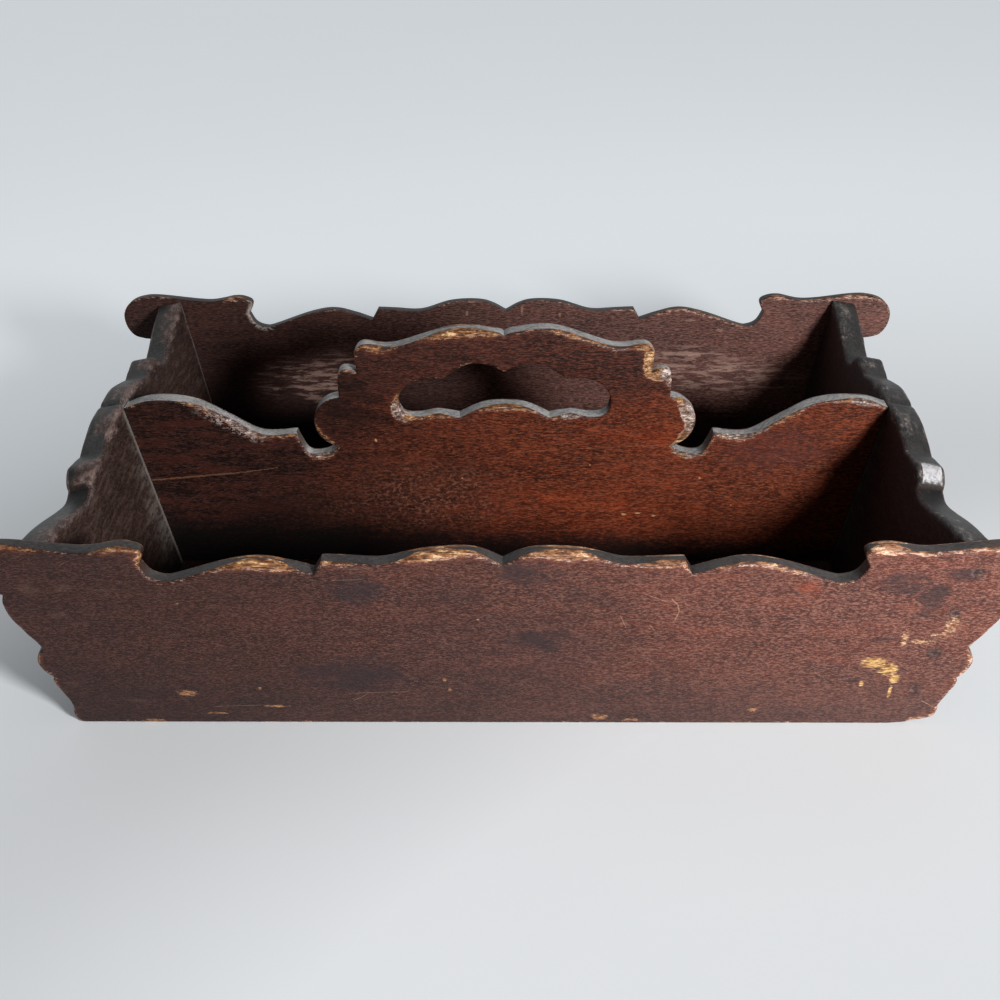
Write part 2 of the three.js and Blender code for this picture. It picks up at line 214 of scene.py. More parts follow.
def shape_board(name, loops, thickness, ease, rub, place, filled=(), open_brads=(), grid=4.2):
    """A board as closed mesh: its sawn loops, eased and worn arrises, and its brad spots."""
    count = sum(len(loop) for loop in loops)
    low, high = loops[0].min(0), loops[0].max(0)
    rings = []
    for number, loop in enumerate(loops):
        run = np.roll(loop, -1, axis=0) - np.roll(loop, 1, axis=0)
        inward = np.column_stack([-run[:, 1], run[:, 0]]) / np.hypot(*run.T)[:, None]
        inward *= way_round(loop) * (1 if number == 0 else -1)
        for depth in RINGS_IN:
            moved = loop + inward * depth
            far, _ = distances(moved, loops)
            rings.append(moved[(far > depth * 0.9) & inside(moved, loops)])
    near_rings = np.vstack(rings)
    heights = np.arange(low[1], high[1], grid * math.sqrt(0.75))
    columns = np.arange(low[0], high[0], grid)
    spread = np.array([(x + (grid / 2 if number % 2 else 0), y)
                       for number, y in enumerate(heights) for x in columns])
    far, _ = distances(spread, loops)
    spread = spread[(far > PLAIN_FROM) & inside(spread, loops)]
    for x, y in [*filled, *open_brads]:
        spread = spread[np.hypot(*(spread - [x, y]).T) > PLAIN_OFF_BRAD]
        near_rings = near_rings[np.hypot(*(near_rings - [x, y]).T) > RINGS_OFF_BRAD]
    brad_points, depths = [], []
    for x, y in filled:
        for radius, sides in STOPPING_RINGS:
            for angle in (math.tau * k / sides for k in range(sides)):
                brad_points.append((x + radius * math.cos(angle), y + radius * math.sin(angle)))
                depths.append(STOPPING_DIP * max(0.0, 1 - (radius / STOPPING_REACH) ** 4))
    pockets = count + len(brad_points)
    for x, y in open_brads:
        for inset, depth in ((0, 0), (POCKET_TAPER, BRAD_DEPTH)):
            wide, tall = BRAD_HEAD[0] / 2 - inset, BRAD_HEAD[1] / 2 - inset
            for a, b in HEAD_CORNERS:
                brad_points.append((x + a * wide, y + b * tall))
                depths.append(depth)
    flat = np.vstack([*loops, np.array(brad_points).reshape(-1, 2), near_rings, spread])
    edges = []
    rounds = [np.arange(len(loop)) + first for loop, first in zip(loops, first_places(loops))]
    for around in rounds:
        edges += [(int(a), int(b)) for a, b in zip(around, np.roll(around, -1))]
    corners = len(HEAD_CORNERS)
    for first in range(pockets, pockets + 2 * corners * len(open_brads), corners):
        edges += [(first + k, first + (k + 1) % corners) for k in range(corners)]
    points = [Vector(point) for point in flat.tolist()]
    made, _, faces, origins, _, _ = delaunay_2d_cdt(points, edges, [], 0, 1e-5)
    flat = np.array([tuple(point) for point in made])
    now_at = {first: index for index, group in enumerate(origins) for first in group}
    triangles = np.array([tuple(face) for face in faces if len(face) == 3])
    triangles = triangles[inside(flat[triangles].mean(1), loops)]
    far, nearest = distances(flat, loops)
    far[far < 1e-4] = 0
    dish = np.zeros(len(flat))
    for index, depth in enumerate(depths):
        dish[now_at[count + index]] = depth

    def drop(radius):
        inner = np.clip(1 - far / np.maximum(radius, 1e-6), 0, 1)
        return radius * (1 - np.sqrt(1 - inner**2))

    front_w = -drop(ease[0][nearest]) - dish
    back_w = -thickness + drop(ease[1][nearest])
    to_brad = np.full(len(flat), NO_BRAD)
    for x, y in [*filled, *open_brads]:
        to_brad = np.minimum(to_brad, np.hypot(*(flat - [x, y]).T))

    rim = np.array([now_at[i] for i in range(count)])
    u, v, w = [flat[:, 0], flat[:, 0]], [flat[:, 1], flat[:, 1]], [front_w, back_w]
    arris, worn = [far, far], [rub[nearest], rub[nearest]]
    brad = [to_brad, np.full(len(flat), NO_BRAD)]
    for row in range(1, EDGE_ROWS):
        share = row / EDGE_ROWS
        between = front_w[rim] * (1 - share) + back_w[rim] * share
        u.append(flat[rim, 0])
        v.append(flat[rim, 1])
        w.append(between)
        arris.append(-np.minimum(front_w[rim] - between, between - back_w[rim]))
        worn.append(rub)
        brad.append(np.full(count, NO_BRAD))
    between_faces = 2 * len(flat) + np.arange(count * (EDGE_ROWS - 1)).reshape(-1, count)
    walls = [rim, *between_faces, rim + len(flat)]
    quads = []
    for around in rounds:
        ahead = np.roll(around, -1)
        for upper, lower in zip(walls, walls[1:]):
            sides = upper[around], upper[ahead], lower[ahead], lower[around]
            quads += np.column_stack(sides).tolist()
    world, local = place(np.concatenate(u), np.concatenate(v), np.concatenate(w))
    world = np.clip(world * MM, *(np.array(corner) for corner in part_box(name)))
    board = bpy.data.meshes.new(f"{name}_wood")
    sheets = triangles.tolist() + (triangles[:, ::-1] + len(flat)).tolist()
    board.from_pydata(world.tolist(), [], sheets + quads)
    for title, kind, field, values in (
        ("place", "FLOAT_VECTOR", "vector", local),
        ("arris", "FLOAT", "value", np.concatenate(arris)),
        ("rub", "FLOAT", "value", np.concatenate(worn)),
        ("brad", "FLOAT", "value", np.concatenate(brad)),
    ):
        kept = board.attributes.new(title, kind, "POINT")
        kept.data.foreach_set(field, np.ravel(values).astype(np.float32))
    skin = bmesh.new()
    skin.from_mesh(board)
    bmesh.ops.recalc_face_normals(skin, faces=skin.faces)
    skin.to_mesh(board)
    skin.free()
    board.shade_smooth()
    board.set_sharp_from_angle(angle=SHARP_FROM)
    piece = bpy.data.objects.new(f"{name}_wood", board)
    bpy.context.scene.collection.objects.link(piece)
    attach(piece, "root")
    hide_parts(name)
    return piece


FOOT_BEVEL = 20


def leaning(turn, reach, lean, limit=None):
    """Sets a board's own points on its wall: turned to face its way, leaned outward, and its
    foot planed level. A limit says how far its ends may reach at a height."""
    def place(u, v, w):
        v = v + w * math.tan(lean) * np.clip(1 - v / FOOT_BEVEL, 0, 1)
        out = reach + v * math.sin(lean) + w * math.cos(lean)
        up = v * math.cos(lean) - w * math.sin(lean)
        if limit is not None:
            u = u * limit(up) / limit(v * math.cos(lean))
        x = u * math.cos(turn) + out * math.sin(turn)
        y = u * math.sin(turn) - out * math.cos(turn)
        along = x if abs(math.cos(turn)) > 0.5 else y
        return np.column_stack([x, y, up]), np.column_stack([along, v, w])
    return place


def end_middle_at(height):
    return end_face_at(height) - END_THICKNESS / math.cos(END_LEAN) / 2


corner_brads = [(hand * end_middle_at(z), z / math.cos(SIDE_LEAN))
                for hand in (-1, 1) for z in (20, 40.4, 60.8, 81.2)]
FOOT_RUB, FOOT_EASE = 0.22, 0.5
LEAST_EASE, MOST_EASE = 0.25, 2.4
CREST = 5


def side_rub(outline, handled):
    """How rubbed a side is round its outline: on its crests, and most where it is handled."""
    free = 0.1 + 0.35 * bulge(outline, CREST) + hot_spots(outline, handled)
    return np.where(outline[:, 1] < 1, FOOT_RUB, free)


def side_ease(outline, rub, seed, size):
    """The radius that wear has given an arris, in mm, uneven as a worn edge is."""
    soft = size * (0.25 + 1.1 * rub) * (1 + 0.4 * wander(len(outline), seed, 9))
    return np.where(outline[:, 1] < 1, FOOT_EASE, np.clip(soft, LEAST_EASE, MOST_EASE))


front_rub = side_rub(front_outline, [
    (-192, 91, 12, 0.2), (-152, 90, 8, 0.25), (-139, 86, 4, 0.3), (-133, 78, 5, 0.2),
    (-92, 88, 11, 0.85), (-25, 89, 12, 0.85), (24, 89, 10, 0.8), (58, 87, 12, 0.4),
    (71, 86, 6, 0.15), (103, 84, 12, 0.2), (145, 93, 5, 0.8), (158, 91, 9, 0.35),
    (182, 93, 10, 0.2), (187, 36, 14, 0.35), (foot_reach - 2, 4, 14, 0.3), (-187, 38, 7, 0.1),
])
front_side = shape_board(
    "front_board", [front_outline], SIDE_THICKNESS,
    (side_ease(front_outline, front_rub, 3, 1.7), side_ease(front_outline, front_rub, 4, 1.0)),
    front_rub, leaning(0, SIDE_REACH, SIDE_LEAN), corner_brads,
)
back_rub = side_rub(side_outline, [
    (147, 93, 6, 0.7), (138, 84, 6, 0.5), (-145, 93, 5, 0.6), (-168, 92, 16, 0.6),
    (-195, 93, 10, 0.65), (-84, 88, 10, 0.45), (-105, 85, 10, 0.5), (-125, 79, 10, 0.5),
]) - FOOT_RUB
back_side = shape_board(
    "back_board", [side_outline], SIDE_THICKNESS,
    (side_ease(side_outline, back_rub, 5, 1.3), side_ease(side_outline, back_rub, 6, 1.5)),
    back_rub, leaning(math.pi, SIDE_REACH, SIDE_LEAN), corner_brads,
)


class Lane:
    """A number, colour or place on its way through a finish. Sums on it add their nodes."""

    def __init__(self, tree, socket=None):
        self.tree = tree
        self.socket = socket

    def node(self, kind, settings, inputs, output=0):
        """Adds a node: its type, settings and inputs. Gives one of its outputs."""
        made = self.tree.nodes.new("ShaderNode" + kind)
        for name, value in settings.items():
            setattr(made, name, value)
        for key, value in inputs.items():
            if isinstance(value, Lane):
                self.tree.links.new(value.socket, made.inputs[key])
            else:
                made.inputs[key].default_value = value
        return Lane(self.tree, made.outputs[output] if made.outputs else None)

    def math(self, operation, first, second):
        return self.node("Math", {"operation": operation}, {0: first, 1: second})

    def higher(self, other):
        return self.math("MAXIMUM", self, other)

    def lower(self, other):
        return self.math("MINIMUM", self, other)

    def __add__(self, other):
        return self.math("ADD", self, other)

    def __sub__(self, other):
        return self.math("SUBTRACT", self, other)

    def __rsub__(self, other):
        return self.math("SUBTRACT", other, self)

    def __mul__(self, other):
        return self.math("MULTIPLY", self, other)

    def __truediv__(self, other):
        return self.math("DIVIDE", self, other)

    def __rtruediv__(self, other):
        return self.math("DIVIDE", other, self)

    __radd__ = __add__
    __rmul__ = __mul__


def new_finish(name):
    """An empty finish, and the lane that its first nodes start from."""
    finish = bpy.data.materials.new(name)
    finish.use_nodes = True
    finish.node_tree.nodes.clear()
    return finish, Lane(finish.node_tree)


def paint(red, green, blue):
    """A colour written as it looks, 0 to 255, turned to the linear values of a shader."""
    parts = [part / 255 for part in (red, green, blue)]
    return (*((p / 12.92 if p <= 0.04045 else ((p + 0.055) / 1.055) ** 2.4) for p in parts), 1)


def figure(place, stretch, shift, detail=3.0, rough=0.6):
    """Noise drawn out over the wood: stretch is its size along, up and through, in mm."""
    moved = place.node("VectorMath", {"operation": "MULTIPLY_ADD"}, {
        0: place, 1: tuple(1 / size for size in stretch), 2: (shift, shift * 0.37, shift * 0.71)})
    return place.node("TexNoise", {}, {
        "Vector": moved, "Scale": 1.0, "Detail": detail, "Roughness": rough})


def band(value, low, high):
    """A soft mask: 0 at low and 1 at high, whichever of the two is the larger."""
    return value.node("MapRange", {"interpolation_type": "SMOOTHSTEP"}, {
        "Value": value, "From Min": low, "From Max": high})


MIX_UNDER, MIX_OVER, MIX_RESULT = 6, 7, 2


def tint(mask, under, over):
    """Lays one colour over another where the mask is 1. A plain colour is three numbers."""
    under, over = (paint(*coat) if isinstance(coat, tuple) else coat for coat in (under, over))
    return mask.node("Mix", {"data_type": "RGBA"}, {
        "Factor": mask, MIX_UNDER: under, MIX_OVER: over}, MIX_RESULT)


def board_marks(start, wrap=0.9):
    """What a finish reads from the mesh: place, distance from an arris, its rub, distance
    from a brad, the sawn edge, and what faces up. Much rubbed, a face wraps over its arris."""
    place = start.node("Attribute", {"attribute_name": "place"}, {}, "Vector")
    u, v, w = (start.node("SeparateXYZ", {}, {0: place}, axis) for axis in "XYZ")
    arris, rub, brad = (start.node("Attribute", {"attribute_name": name}, {}, "Fac")
                        for name in ("arris", "rub", "brad"))
    facing = start.node("NewGeometry", {}, {}, "Normal")
    upward = band(start.node("SeparateXYZ", {}, {0: facing}, "Z"), 0.25, 0.8)
    edge = band(arris + band(rub, 0.35, 1.2) * wrap, -0.01, -0.12)
    return place, u, v, w, arris, rub, brad, edge, upward


def tears(place, seed):
    """Two kinds of unevenness for the rims of marks: broad and ragged, and fine as specks."""
    ragged = figure(place, (9, 3.5, 6), seed, 4, 0.65)
    return ragged, figure(place, (2.1, 1.2, 1.4), seed + 1, 3, 0.7)


def mahogany(place, seed, deep, warm, fleck, dark=(22, 12, 10), streaky=0.0, drawn=1.0):
    """Old mahogany: slow mottles, short pale flecks along the grain, and dark open pores."""
    slow = figure(place, (52, 13, 15), seed, 4)
    fine = figure(place, (15, 1.4, 2), seed + 1, 3)
    colour = tint(band(slow * 0.64 + fine * 0.36, 0.26, 0.74), deep, warm)
    lines = figure(place, (10, 0.9, 1.6), seed + 5, 4, 0.75)
    colour = tint(band(lines, 0.5, 0.6) * streaky, colour, dark)
    colour = tint(band(lines, 0.48, 0.38) * streaky * 0.7, colour, fleck)
    flecks = figure(place, (4.4 * drawn, 0.52, 1), seed + 2, 3, 0.75)
    colour = tint(band(flecks, 0.53, 0.68) * 0.44, colour, fleck)
    pores = band(figure(place, (3.8 * drawn, 0.42, 0.9), seed + 3, 2, 0.7), 0.53, 0.65)
    colour = tint(pores * 0.6, colour, dark)
    grit = figure(place, (1.5 * drawn, 0.42, 0.8), seed + 4, 2, 0.7)
    colour = tint(band(grit, 0.5, 0.62) * 0.56, colour, fleck)
    colour = tint(band(grit, 0.49, 0.37) * 0.62, colour, dark)
    return colour, flecks * 0.3 + grit * 0.3 - pores * 0.5


def spots(u, v, ragged, places, soft=0.22, torn=3.4):
    """Ragged patches, each about its spot with its half width and half height in mm."""
    nearest = None
    for (x, y), (wide, tall) in places:
        across, up = (u - x) * (1 / wide), (v - y) * (1 / tall)
        near = 1 - across * across - up * up
        nearest = near if nearest is None else nearest.higher(near)
    return band(nearest + (ragged - 0.5) * torn, 0.5 - soft, 0.5 + soft)


def scratches(u, v, ragged, strokes):
    """Thin scored lines, each from one spot to another, broken up by noise."""
    deepest, taper = None, 0.8
    for (x0, y0), (x1, y1), width in strokes:
        reach = math.hypot(x1 - x0, y1 - y0)
        run = (u - x0) * ((x1 - x0) / reach) + (v - y0) * ((y1 - y0) / reach)
        off = (v - y0) * ((x1 - x0) / reach) - (u - x0) * ((y1 - y0) / reach)
        off = off + (ragged - 0.5) * (width * 3)
        line = band(off * off, width * width, 0.0) * band(run, -taper, taper)
        line = line * band(run, reach + taper, reach - taper)
        deepest = line if deepest is None else deepest.higher(line)
    return deepest * band(ragged, 0.3, 0.48)


def worn_arris(place, arris, rub, edge, seed, width):
    """Rubbing on an arris: bare wood, a pale line partly a painted highlight, thinned polish
    below.
    """
    slow = figure(place, (11, 11, 11), seed, 2, 0.5)
    ragged = figure(place, (4, 1.1, 1.5), seed + 1, 4, 0.75)
    uneven = rub * 1.15 - 0.22 + (slow - 0.5) * 1.1 + (ragged - 0.5) * 2.1
    reach = uneven * width - arris.higher(0)
    on_face = 1 - edge
    rubbed = band(reach, 0.0, 0.25) * on_face
    speck = figure(place, (2.4, 0.8, 1), seed + 2, 3, 0.7)
    broken = band(speck + (rub - 0.6) * 0.1, 0.47, 0.57)
    line = band(reach, -0.4, -0.1) * band(reach, 0.5, 0.15) * on_face * broken
    return rubbed, line, band(reach, -2.2, -0.2) * band(rub, 0.2, 0.7) * on_face


def bare_wood(place, rub, seed, umber, tan, pale, grain=(5.5, 0.6, 0.8)):
    """Wood with its polish rubbed off: umber where polish stays in the grain, tan and pale."""
    streaks = figure(place, grain, seed, 3, 0.75)
    patches = figure(place, (7, 2.2, 3), seed + 1, 3, 0.7)
    tone = streaks * 0.5 + patches * 0.5 + (rub - 0.6) * 0.05
    colour = tint(band(tone, 0.46, 0.53), umber, tan)
    return tint(band(tone, 0.555, 0.62), colour, pale)


def shade(colour, much):
    """A plain colour made darker or lighter."""
    return tuple(part * much for part in colour)


def sawn_edge(place, seed, upward, side, top):
    """A sawn edge under old wax: brown on its sides, slate on top, partly a painted reflection.
    """
    grain = figure(place, (1.8, 1.8, 0.8), seed, 4, 0.7)
    cloud = figure(place, (14, 14, 9), seed + 1, 2, 0.5)
    tone = band(grain * 0.65 + cloud * 0.35, 0.38, 0.62)
    brown = tint(tone, shade(side, 0.62), side)
    # Faces that look up are painted slate: partly dust and wax bloom, partly a painted reflection
    # of the pale sky.
    return tint(upward, brown, tint(tone, shade(top, 0.7), shade(top, 1.15)))


def stopped_brads(brad, ragged, speck):
    """Sunk brads: the dark stopping with its ring, and the iron stain bled into the wood."""
    stain = band(brad + (ragged - 0.5) * 9, 4.6, 0.8)
    near = brad + (speck - 0.5) * 3
    return stain, band(near, 1.1, 1.8) * band(near, 2.8, 2.0)


def dress(piece, finish, start, colour, rough, height, gloss=0.24):
    """Puts the finish on its piece: one polished shader, with a shallow grain in its light."""
    bump = start.node("Bump", {}, {
        "Strength": 0.35, "Distance": 0.0003, "Height": height})
    shader = start.node("BsdfPrincipled", {}, {
        "Base Color": colour, "Roughness": rough, "Normal": bump, "Specular IOR Level": gloss})
    start.node("OutputMaterial", {}, {"Surface": shader})
    piece.data.materials.append(finish)


GOLD_WEAR = (62, 41, 31), (149, 99, 56), (240, 198, 142)

finish, start = new_finish("front_polish")
place, u, v, _, arris, rub, brad, edge, upward = board_marks(start)
ragged, speck = tears(place, 15)
cloud = figure(place, (70, 30, 20), 17, 3)
# The board is painted darker to the left and lighter to the right: painted light, the lamp's
# fall-off across it, with some of the wood's own change of tone.
to_right = band(u + (cloud - 0.5) * 200, -190, 230)
colour, height = mahogany(
    place, 11, tint(to_right, (40, 19, 16), (62, 34, 31)),
    tint(to_right, (63, 32, 25), (114, 57, 41)),
    tint(to_right, (92, 62, 54), (158, 112, 97)), streaky=0.08)
soot = figure(place, (34, 15, 12), 18, 4, 0.65)
colour = tint(band(soot, 0.54, 0.7) * 0.3, colour, (38, 28, 27))
grey = tint(to_right, (38, 31, 32), (72, 57, 55))
colour = tint(band(v + (ragged - 0.5) * 30, 50, -5) * 0.5, colour, grey)
middle = spots(u, v, ragged, [((6, 42), (46, 22))], 1.0, 2.0)
colour = tint(middle * 0.3, colour, (50, 36, 36))
streak = figure(place, (3.2, 0.7, 1.4), 14, 4, 0.7)
patches = spots(u, v, ragged, [
    ((-57, 73), (13, 9)), ((-60, 28), (28, 11)), ((16, 47), (16, 6)), ((9, 82), (14, 7)),
    ((156, 77), (13, 7)), ((166, 70), (7, 10)), ((175, 81), (7, 4)),
], 0.6)
colour = tint(patches * 0.7, colour, (38, 30, 33))
colour = tint(spots(u, v, ragged, [((117, 74), (6, 4))], 0.9) * 0.4, colour, (150, 66, 38))
knots = spots(u, v, speck, [
    ((142.3, 24.8), (4, 1.5)), ((150, 47.5), (6, 2)), ((164, 61), (4, 2))], 0.5)
colour = tint(knots * 0.55, colour, (34, 28, 29))
stain, ring = stopped_brads(brad, ragged, speck)
colour = tint(stain * (0.15 + to_right * 0.5), colour, (30, 23, 24))
stopping = tint(band(speck, 0.45, 0.55), (24, 19, 19), (120, 104, 100))
colour = tint(ring * to_right * 0.4, colour, stopping)
gold = spots(u, v, streak * 0.6 + speck * 0.4, [
    ((149, 34.8), (6, 3.5)), ((155.5, 31), (4.4, 4)), ((158.6, 26), (2.6, 3)),
    ((145.7, 23), (1.2, 1.8)), ((158, 18.5), (0.9, 4)),
], 0.5, 4.0)
mustard = tint(band(streak, 0.4, 0.5), (128, 86, 48), (186, 142, 80))
colour = tint(gold * 0.9, colour, tint(band(streak, 0.53, 0.62), mustard, (232, 198, 146)))
rubs = spots(u, v, speck * 0.6 + streak * 0.4, [
    ((176.2, 55), (2.6, 5)), ((173, 50), (4, 1.6)), ((166.5, 46.4), (5, 1.2)),
    ((158.8, 48), (1.5, 5)),
], 0.5, 6.0) * band(speck, 0.42, 0.56)
grained = band(streak, 0.44, 0.58)
colour = tint(rubs * 0.75, colour, tint(grained, (150, 100, 66), (226, 186, 146)))
scars = spots(u, v, speck * 0.5 + streak * 0.5, [
    ((-130.6, 17.2), (5, 2)), ((-94, 9.7), (6, 0.8)), ((40, 3.6), (4, 2)), ((53, 1.7), (4, 1)),
    ((-119, 5.5), (5, 0.8)), ((-22, 19.2), (0.9, 0.9)), ((-24, 24.9), (0.9, 0.9)),
    ((-9.8, 57.8), (0.7, 0.7)), ((-100, 20), (0.8, 1)), ((103, 8), (2.4, 1.2)),
    ((-127, 66), (0.8, 0.8)), ((-146, 0.8), (6, 1.4)),
], 0.4, 4.6)
colour = tint(scars * 0.7, colour, tint(grained, (118, 76, 50), (190, 140, 98)))
faint = spots(u, v, ragged, [
    ((-165, 56), (3, 2)), ((-152, 13), (6, 1)), ((-184, 74), (5, 3)), ((-170, 74), (4, 3)),
    ((-155, 73), (4, 1)), ((-175, 60), (4, 3)), ((-177, 22), (4, 2.4)), ((-56, 84), (8, 1)),
    ((55, 42), (6, 1)), ((-44, 44), (4, 0.8)),
], 0.6)
colour = tint(faint * 0.08, colour, (150, 120, 106))
scored = scratches(u, v, speck, [
    ((65.4, 68.8), (67.9, 66), 0.36), ((67.9, 66), (68.8, 62), 0.4),
    ((68.8, 62), (67.4, 57.6), 0.34), ((54.9, 71.3), (64, 67), 0.22),
    ((69.2, 70.3), (76, 72), 0.22), ((-63.4, 17.2), (-38.4, 18.2), 0.2),
    ((-62, 13), (-55, 17.4), 0.2), ((-66, 78), (-54, 78.6), 0.2),
    ((57.8, 55.2), (60, 52), 0.2), ((-120, 9.4), (-101, 10.2), 0.18),
    ((172, 13.5), (178, 9.5), 0.25), ((-169, 85.5), (-166.6, 87), 0.2),
    ((46, 60), (48.4, 54), 0.2),
])
colour = tint(scored * (0.2 + to_right * 0.3), colour, (186, 142, 118))
rubbed, line, thinned = worn_arris(place, arris, rub, edge, 19, 2.4)
colour = tint(thinned * 0.3, colour, (132, 70, 44))
bare = tint(to_right, bare_wood(place, rub, 22, *GOLD_WEAR), bare_wood(
    place, rub, 22, (84, 56, 46), (166, 118, 88), (232, 200, 168)))
bare = tint(band(speck, 0.5, 0.6) * 0.55, bare, (66, 43, 33))
colour = tint(rubbed * (0.76 + to_right * 0.22), colour, bare)
# The pale broken line under the worn band is partly pale wood and partly a painted highlight
# along the edge.
colour = tint(line * (0.4 + to_right * 0.5), colour, (208, 176, 158))
colour = tint(edge, colour, sawn_edge(place, 24, upward, (64, 42, 34), (62, 58, 57)))
height = height - rubbed * 0.8 - gold * 0.5 - scored * 0.6
dress(front_side, finish, start, colour, 0.4 + soot * 0.1, height)

finish, start = new_finish("back_polish")
place, u, v, w, arris, rub, brad, edge, upward = board_marks(start)
ragged, speck = tears(place, 35)
drawn = figure(place, (38, 1.9, 5), 37, 4, 0.7)
streak = figure(place, (16, 2.4, 3), 38, 4, 0.75)
inner = band(w, -2.8, -3.6)
# Painted darker to the left and lighter to the right: partly the wood's own tone, partly painted
# shade where less light falls.
to_right = band(u + (ragged - 0.5) * 90, -150, 120)
colour, height = mahogany(
    place, 31, tint(to_right, (35, 22, 20), (57, 35, 31)),
    tint(to_right, (68, 42, 37), (108, 66, 57)),
    tint(to_right, (90, 64, 56), (140, 105, 96)), streaky=0.3, drawn=1.8)
# Mostly a painted shadow of the handle on the back board's inner face, partly a dark stain.
stain_and_handle_shadow = band(v + (drawn - 0.5) * 60, 72, 40) * band(u + (drawn - 0.5) * 90, 10, -70)
colour = tint(stain_and_handle_shadow * inner * 0.42, colour, (20, 18, 21))
# Painted shade: the back board's inner face darkened behind the handle.
middle = spots(u, v, ragged, [((5, 58), (62, 16))], 1.0)
colour = tint(middle * inner * 0.3, colour, (26, 14, 14))
# Pale dry streaks of wood, and on the left partly a painted pool of light where the lamp shines
# through the hand-hold.
pale_wood_and_lit_patch = spots(u, v, streak, [
    ((-100, 47), (36, 15)), ((112, 48), (50, 11)), ((100, 61), (22, 5))], 0.8)
dry = tint(band(streak, 0.47, 0.57), (66, 42, 38), (160, 130, 118))
colour = tint(pale_wood_and_lit_patch * inner * 0.6, colour, dry)
# Painted shade: the inner face darker towards the floor, where the divider's arms cast their
# shadow.
colour = tint(band(v + (drawn - 0.5) * 20, 34, 18) * inner * 0.8, colour, (17, 12, 12))
stain, ring = stopped_brads(brad, ragged, speck)
colour = tint(stain * 0.6, colour, (30, 23, 24))
colour = tint(ring * 0.7, colour, (18, 14, 14))
chips = spots(u, v, speck, [
    ((8.8, 86.1), (1, 3)), ((29.4, 83.3), (0.8, 1.6)), ((-21, 84), (1, 2)),
    ((-128, 41), (2, 1)), ((103.7, 60), (5, 1.4)), ((99.8, 80.3), (4, 1)),
    ((116, 74.6), (3, 1)), ((-18, 91), (6, 1)),
])
colour = tint(chips * inner * 0.36, colour, (170, 136, 118))
rubbed, line, _ = worn_arris(place, arris, rub, edge, 39, 2.2)
bare = bare_wood(place, rub, 42, (52, 34, 28), (136, 92, 68), (206, 172, 148))
colour = tint(rubbed, colour, bare)
# The pale line along the worn arris is partly pale wood and partly a painted highlight.
colour = tint(line * 0.85, colour, (196, 164, 150))
chalk = spots(u, v, speck, [((-138, 85), (5, 8)), ((-133, 76), (6, 4))], 0.3, 7.0)
colour = tint(chalk * band(arris, 2.6, 0.8) * inner * 0.6, colour, (176, 166, 158))
colour = tint(edge, colour, sawn_edge(place, 44, upward, (58, 38, 31), (62, 57, 56)))
height = height - rubbed * 0.8
dress(back_side, finish, start, colour, 0.42 + drawn * 0.12, height, 0.14)

# Ends: thicker mahogany boards, butted between the long sides and leaned further out. Their
# lobed tops are rubbed round by hands, and their inner faces are scuffed dull by cutlery.


JOINT_GAP = 0.3
JOINT_CLEAR = 0.8


def side_limit(height):
    """How far from the middle the sides let an end reach at a height."""
    return FLOOR_DEPTH / 2 + height * math.tan(SIDE_LEAN) - JOINT_GAP / math.cos(SIDE_LEAN)


end_corner = 91.3
end_top = half_outline([
    ((0, 89.9), [(0.12, 1.7), (0.48, 3)]),
    ((39, 85.3), [(0.45, 4.3), (0.68, 5.6), (0.94, 3.1)]),
    ((61.8, 81), [(0.14, -2.8), (0.53, 0), (0.78, 0.9)]),
    ((FLOOR_DEPTH / 2 + end_corner * math.tan(SIDE_LEAN) + 6, end_corner), []),
])
within = end_top[:, 0] < side_limit(end_top[:, 1] * math.cos(END_LEAN)) - JOINT_CLEAR
end_top = end_top[:np.argmin(within)]
shoulder = side_limit(end_top[-1, 1] * math.cos(END_LEAN)), end_top[-1, 1] + 0.05
end_outline = both_halves(np.vstack([end_top, swing(shoulder, (side_limit(0), 0))]))
on_top = (end_outline[:, 1] > 70) & (np.abs(end_outline[:, 0]) < end_top[-1, 0] + 0.01)
fade_in = np.clip((shoulder[0] - np.abs(end_outline[:, 0])) / 9, 0.12, 1)
end_rub = np.where(on_top, 0.15 + 0.6 * bulge(end_outline, CREST), 0.0)


def end_ease(seed, size):
    """The radius of an end's arris, which fades away where the top meets the sides."""
    soft = size * (1 + 0.3 * wander(len(end_outline), seed, 8)) * (0.7 + 0.5 * end_rub) * fade_in
    return np.where(on_top, soft, 0.3)


divider_end_brads = [(0, z / math.cos(END_LEAN)) for z in (22, 44, 66)]
right_end = shape_board(
    "right_end", [end_outline], END_THICKNESS, (end_ease(13, 1.5), end_ease(14, 2.0)), end_rub,
    leaning(math.pi / 2, END_REACH, END_LEAN, side_limit), open_brads=divider_end_brads,
)
left_end = shape_board(
    "left_end", [end_outline], END_THICKNESS, (end_ease(15, 1.5), end_ease(16, 2.6)), end_rub,
    leaning(-math.pi / 2, END_REACH, END_LEAN, side_limit), open_brads=divider_end_brads,
)

